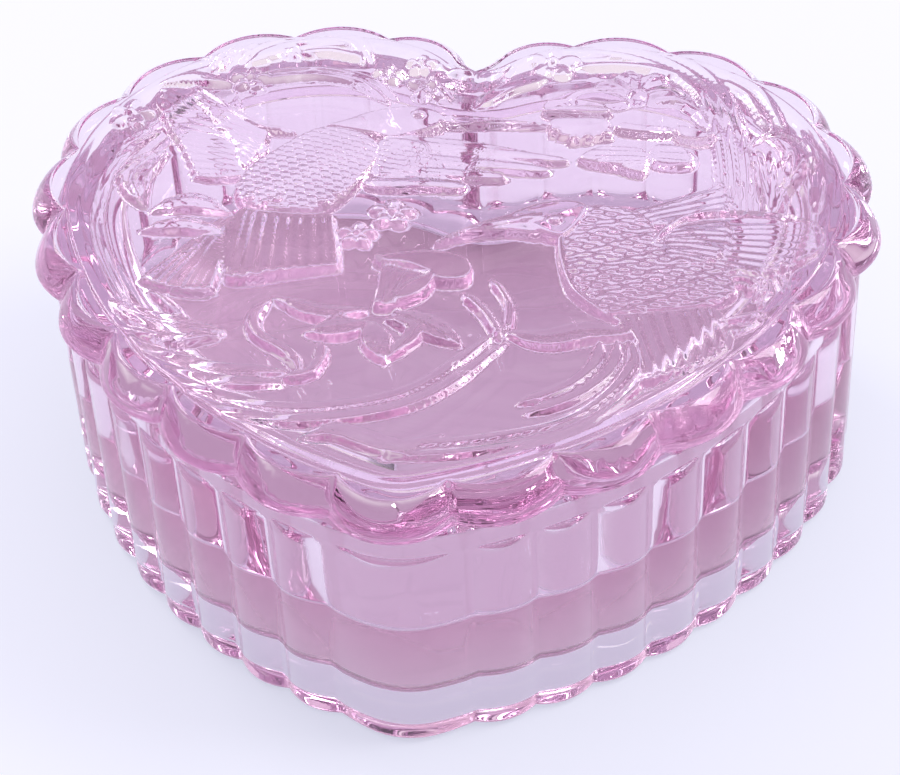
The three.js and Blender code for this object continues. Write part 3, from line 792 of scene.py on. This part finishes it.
def draw_flowers(relief):
    petals = (
        [[10.8, 33.6], [13.6, 36.4], [17, 38], [20.4, 38], [21.6, 36.6], [17, 35.6], [14, 33.4]],
        [[15, 34.2], [17.4, 37], [21.6, 36.6], [23.2, 34.4], [20, 33.2]],
        [[11, 32.4], [15, 33.4], [20.4, 33], [20, 31.2], [15, 30.8], [11.4, 30.8]],
        [[12.2, 29.8], [16, 30.6], [20.4, 30.6], [21, 27.4], [19.6, 25.6], [16, 25.2], [13, 26.2]],
    )
    for outline in petals:
        relief.area(outline, 1.0, 0.7, 0.3)
    for x, y in ((13.2, 26.8), (16.2, 25.2), (20.6, 26.6), (18, 25.6)):
        relief.oval(x, y, 2, 1.7, 20, 1.7)
    relief.strand([[21.4, 29], [25, 28.4], [30.4, 28.2]], 1.3, 1.1)
    relief.area([[30, 29.4], [33, 29.2], [36.4, 27.6], [36, 26], [33, 25.6], [30.6, 26.4]], 1.2, 0.7, 0.2)
    relief.bead(35.4, 26.8, 1.3)
    bell = [
        [17, 21], [19.5, 23.6], [24, 24], [26.8, 23],
        [27.2, 20], [26.2, 17.4], [22, 18.8], [18.6, 19.4],
    ]
    relief.area(bell, 1.2, 0.7, 0.2)
    relief.fan(4, [[27.4, 23], [27.4, 20]], [[19.4, 23], [18, 21.2], [20, 19.4]], 0.7, 0.25)
    relief.area(
        [[27.2, 24.6], [30.5, 25.2], [33, 23.4], [33.2, 20.2], [29.6, 19.6], [27.4, 20.6]], 1.1, 0.7,
    )
    relief.fan(3, [[27.8, 23.8], [27.8, 21]], [[32.4, 24], [32.8, 20.6]], 0.7, 0.25)
    blossom(relief, 24, 36.4, 6.6, 1.1, 4, 15, 140)
    relief.strand([[26, 35.4], [30, 36], [33.4, 33], [34.4, 30.4]], 0.8, 1.0)
    cup = [
        [41, 25], [43, 27.6], [46, 28.2], [49.4, 25.4], [49, 20],
        [47, 15], [46, 10.4], [43.8, 10.4], [43, 15], [42, 20],
    ]
    relief.area(cup, 1.0, 0.8)
    relief.strand([[40.8, 24.4], [43, 27.6], [46, 28.2], [49.6, 25.2], [50, 21]], 0.8, 1.5)
    relief.fan(4, [[44.2, 11], [45.8, 11]], [[42, 24], [45.4, 25.4], [48.6, 23.6]], 0.8, 0.3)

    # Trumpet in the middle
    mouth = [
        [-8.6, -4], [-5, -2.6], [0, -1.8], [4, -3], [5.4, -5.6],
        [4.6, -8.2], [1, -8.6], [-1, -7], [-4, -5.6], [-7, -5.4],
    ]
    relief.area(mouth, 1.6, 0.6)
    relief.bead(-8, -4.4, 1.4)
    tube = [[-7, -5.4], [-3, -6], [0.6, -7.6], [-1, -11], [-4, -14], [-7, -14.2], [-7.2, -10]]
    relief.area(tube, 1.2, 0.6, 0.2)
    petal = [[0.4, -6.8], [-2, -7.8], [-4, -10], [-4.6, -13], [-2.4, -12.8], [0, -10.2]]
    relief.area(petal, 1.6, 0.6)
    relief.fan(3, [[-6.6, -13.6], [-5, -13.8]], [[-7, -6], [-3.4, -6.8]], 0.7, 0.25)
    relief.bead(-6.6, -13.8, 1.6)
    small = (
        (11.2, 44, 4.2), (-5.6, 37, 3.9), (-32.6, 36.8, 3.2), (-35.6, 45, 2.8),
        (-48.6, 27, 3.6), (-12.4, 39.4, 2.6), (-7.4, 6.6, 3.4), (-11.6, 1.6, 2.9),
        (-1.8, 42, 2.6), (-27.4, 43.8, 1.5), (-8, 42.2, 2.4), (-38, 41, 2),
    )
    for x, y, radius in small:
        blossom(relief, x, y, radius, 1.1)


def draw_leaves(relief):
    for points, half_width in (
        ([[-7.4, -17], [-10, -18.4], [-15.2, -19.6]], 2.1),
        ([[-6.8, -17], [-6, -20], [-4.2, -24.6]], 2.2),
        ([[-5, -16], [-1, -18.4], [-3.6, -24]], 1.4),
        ([[-4, -14.6], [1, -17.4], [5.2, -20.4]], 2.2),
        ([[-8, -14.6], [-14, -15.6], [-20.8, -12.8]], 1.7),
        ([[-42.6, 6], [-45, 12], [-41.8, 18.4]], 2.2),
        ([[-41, 5], [-36, 7], [-30.6, 5.4]], 2),
        ([[-41.4, 0.4], [-36, 1.8], [-30.2, 0.4]], 1.7),
        ([[-43, -15], [-36, -19.4], [-26.6, -20.4]], 2.2),
        ([[-40.6, -20.6], [-34, -22.8], [-27, -21.4]], 1.4),
        ([[-38, -12.6], [-34.6, -15.6], [-31.2, -19.2]], 1),
        ([[11.4, -17.6], [16.5, -18.6], [22, -16.8], [28, -16.6]], 2.2),
        ([[-12.8, -40.4], [-8, -39], [0, -41.4], [5, -38.4]], 1.9),
        ([[-46, 34.4], [-41, 36.6], [-35, 35.4]], 1.4),
    ):
        leaf(relief, points, half_width, 1.1)


def draw_ribbons(relief):
    left = [[-46, 25], [-50.4, 18], [-51.6, 9], [-50.6, 0], [-46.6, -10], [-42, -18]]
    bundle(relief, left, (-2.4, -0.8, 0.8, 2.4), 1.0, 0.3, 1.0)
    relief.strand([[-43, 18.6], [-46, 15.4], [-47.4, 11]], 0.8, 0.9)
    bundle(relief, [[-43, -20.5], [-36, -25.4], [-27, -28.4], [-17, -28.6]], (-1.5, 0.9), 1.3, 0.7, 1.0)
    relief.strand([[-17, -29.2], [-13.6, -28], [-12.6, -25], [-13, -21.6]], 1.0, 1.2)
    relief.strand([[-21.4, -13.6], [-22.8, -17.4], [-21.4, -21], [-17, -24.2], [-15, -27.6]], 1.1, 1.2)
    bundle(
        relief, [[-42, -25.6], [-31, -32], [-18, -36], [-7, -34.6], [2, -30], [10.4, -19]],
        (-1.1, 1.2), 1.2, 0.9,
    )
    relief.strand([[4.6, -10], [8, -14], [10.4, -18.5]], 0.9, 1.1)
    relief.strand([[8, -6.6], [10.9, -12], [11.4, -18]], 0.7, 1)
    relief.bead(10.6, -18.4, 2)
    bundle(relief, [[25, -18.4], [24.6, -23.4], [21, -28.6], [15, -32.6]], (-1.3, 1), 1.1, 0.8)
    bundle(
        relief, [[28.8, -18], [28.8, -24], [25.4, -30.6], [19.6, -36], [9, -40], [-2, -42]],
        (-0.8, 1.2), 1, 0.9,
    )
    top = [
        [2.6, 40], [5, 45.4], [10, 48.4], [20, 48.6],
        [28, 45.6], [34, 40], [37, 32], [38.8, 22], [39.8, 10],
    ]
    bundle(relief, top, (-1.7, 0, 1.7), 0.95, 0.8)
    relief.strand([[14.8, 43.2], [20, 44], [25, 43.7], [30.4, 42]], 0.9, 1.1)
    bundle(relief, [[36, 43.4], [41.4, 39], [45, 31]], (-1.6, 0.4), 0.9, 0.8)
    bundle(relief, [[48.6, 31], [51.8, 22], [52, 12]], (-0.9, 1), 0.9, 0.6, 1.0)
    relief.strand([[1.6, 33], [5, 37], [10.4, 40.4]], 1.4, 0.9)
    ring = [[-34, 41], [-30.4, 45], [-24, 47.4], [-19, 47], [-16.6, 42.6]]
    bundle(relief, ring, (-0.2, 1.2), 0.9, 1.0)
    relief.strand([[-33.6, 41], [-31, 43.4], [-27.4, 45.4]], 1.5, 1.1, "leaf")
    relief.strand([[-26.6, 43.6], [-22, 44.6], [-17, 43.4]], 0.9, 1.1)
    bundle(
        relief, [[-31.6, 37.2], [-27, 38.4], [-22, 39], [-16, 37.4], [-11.4, 33.4]],
        (-0.5, 0.9), 0.9, 1.0,
    )
    bundle(relief, [[-46, 35.6], [-42, 38.6], [-37, 41.4]], (-0.8, 0.9), 0.85, 0.7)
    relief.strand([[-34, 33.6], [-33, 29.4], [-30, 25.6]], 0.4, 0.5)


def draw_ornament(relief):
    draw_left_bird(relief)
    draw_right_bird(relief)
    draw_flowers(relief)
    draw_leaves(relief)
    draw_ribbons(relief)


def glass_material():
    """Clear glass with faint streaks of tint, frosted where the mesh is stippled and there tinted deeper as
    painted shade for the dim light under the box.
    """
    material = bpy.data.materials.new("pink_glass")
    material.use_nodes = True
    nodes, links = material.node_tree.nodes, material.node_tree.links
    nodes.clear()

    def mix(factor, a, b):
        step = nodes.new("ShaderNodeMix")
        step.data_type = "RGBA"
        links.new(factor, step.inputs["Factor"])
        for name, source in (("A", a), ("B", b)):
            if isinstance(source, bpy.types.NodeSocket):
                links.new(source, step.inputs[name])
            else:
                step.inputs[name].default_value = source
        return step.outputs["Result"]

    place = nodes.new("ShaderNodeTexCoord")
    cloud = nodes.new("ShaderNodeTexNoise")
    cloud.inputs["Scale"].default_value = STREAK_SCALE
    cloud.inputs["Detail"].default_value = STREAK_DETAIL
    links.new(place.outputs["Object"], cloud.inputs["Vector"])
    frost_and_painted_shade = nodes.new("ShaderNodeAttribute")
    frost_and_painted_shade.attribute_name = "frost_and_painted_shade"
    frost = nodes.new("ShaderNodeMath")
    frost.operation = "MULTIPLY"
    frost.inputs[1].default_value = STIPPLE_ROUGHNESS
    links.new(frost_and_painted_shade.outputs["Fac"], frost.inputs[0])
    streaks = mix(cloud.outputs["Fac"], PALE_TINT, DEEP_TINT)
    # The deeper tint on the stippled ceiling is painted shade
    streaks_and_painted_shade = mix(frost_and_painted_shade.outputs["Fac"], streaks, STIPPLE_PAINTED_SHADE)

    shader = nodes.new("ShaderNodeBsdfPrincipled")
    links.new(streaks_and_painted_shade, shader.inputs["Base Color"])
    shader.inputs["IOR"].default_value = GLASS_INDEX
    shader.inputs["Transmission Weight"].default_value = 1
    links.new(frost.outputs["Value"], shader.inputs["Roughness"])
    volume = nodes.new("ShaderNodeVolumeAbsorption")
    volume.inputs["Color"].default_value = BODY_COLOUR
    volume.inputs["Density"].default_value = BODY_DENSITY
    output = nodes.new("ShaderNodeOutputMaterial")
    links.new(shader.outputs["BSDF"], output.inputs["Surface"])
    links.new(volume.outputs["Volume"], output.inputs["Volume"])
    return material


def floor_material():
    material = bpy.data.materials.new("pale_floor")
    material.use_nodes = True
    shader = material.node_tree.nodes["Principled BSDF"]
    shader.inputs["Base Color"].default_value = FLOOR_COLOUR
    shader.inputs["Roughness"].default_value = FLOOR_ROUGHNESS
    shader.inputs["Emission Color"].default_value = FLOOR_GLOW
    shader.inputs["Emission Strength"].default_value = FLOOR_GLOW_STRENGTH
    return material


def add_softbox(name, place, size, watts):
    lamp = bpy.data.lights.new(name, "AREA")
    lamp.shape = "RECTANGLE"
    lamp.size, lamp.size_y = size
    lamp.energy = watts
    light = bpy.data.objects.new(name, lamp)
    light.location = place
    light.rotation_euler = (Vector(BOX_MIDDLE) - Vector(place)).to_track_quat("-Z", "Y").to_euler()
    bpy.context.scene.collection.objects.link(light)


def add_camera():
    place = Vector(CAMERA_PLACE) * MM
    target = Vector(CAMERA_TARGET) * MM
    roll = math.radians(CAMERA_ROLL)
    back = (place - target).normalized()
    right = Vector((0, 0, 1)).cross(back).normalized()
    up = back.cross(right)
    turned_right = right * math.cos(roll) + up * math.sin(roll)
    turned_up = up * math.cos(roll) - right * math.sin(roll)
    data = bpy.data.cameras.new("camera")
    data.lens = CAMERA_LENS
    data.sensor_width = CAMERA_SENSOR
    data.sensor_fit = "HORIZONTAL"
    camera = bpy.data.objects.new("camera", data)
    turn = Matrix((turned_right, turned_up, back)).transposed().to_4x4()
    camera.matrix_world = Matrix.Translation(place) @ turn
    bpy.context.scene.collection.objects.link(camera)
    bpy.context.scene.camera = camera


def add_world():
    """Pale surroundings, bright overhead and dim towards the horizon."""
    world = bpy.data.worlds.new("studio")
    world.use_nodes = True
    nodes, links = world.node_tree.nodes, world.node_tree.links
    direction = nodes.new("ShaderNodeTexCoord")
    parts = nodes.new("ShaderNodeSeparateXYZ")
    ramp = nodes.new("ShaderNodeValToRGB")
    ramp.color_ramp.elements[0].position = HORIZON_RISE
    ramp.color_ramp.elements[0].color = HORIZON_COLOUR
    ramp.color_ramp.elements[1].position = OVERHEAD_RISE
    ramp.color_ramp.elements[1].color = OVERHEAD_COLOUR
    background = nodes["Background"]
    background.inputs["Strength"].default_value = SURROUNDINGS_STRENGTH
    links.new(direction.outputs["Generated"], parts.inputs["Vector"])
    links.new(parts.outputs["Z"], ramp.inputs["Fac"])
    links.new(ramp.outputs["Color"], background.inputs["Color"])
    bpy.context.scene.world = world


def add_floor():
    mesh = bpy.data.meshes.new("floor")
    signs = ((-1, -1), (1, -1), (1, 1), (-1, 1))
    corners = [(x * FLOOR_HALF, y * FLOOR_HALF, -FLOOR_DROP) for x, y in signs]
    mesh.from_pydata(corners, [], [(0, 1, 2, 3)])
    mesh.materials.append(floor_material())
    floor = bpy.data.objects.new("floor", mesh)
    bpy.context.scene.collection.objects.link(floor)


glass = glass_material()
for node, build in (("base", build_base), ("lid", build_lid)):
    piece = build(glass)
    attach(piece, "root")
    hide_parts(node)

add_floor()
add_world()
add_camera()
add_softbox("softbox_left", **LEFT_SOFTBOX)
add_softbox("softbox_right", **RIGHT_SOFTBOX)

scene = bpy.context.scene
scene.view_settings.view_transform = "Standard"
scene.cycles.max_bounces = LIGHT_BOUNCES
scene.cycles.diffuse_bounces = 0
scene.cycles.transmission_bounces = LIGHT_BOUNCES
scene.cycles.glossy_bounces = LIGHT_BOUNCES
scene.cycles.use_denoising = True
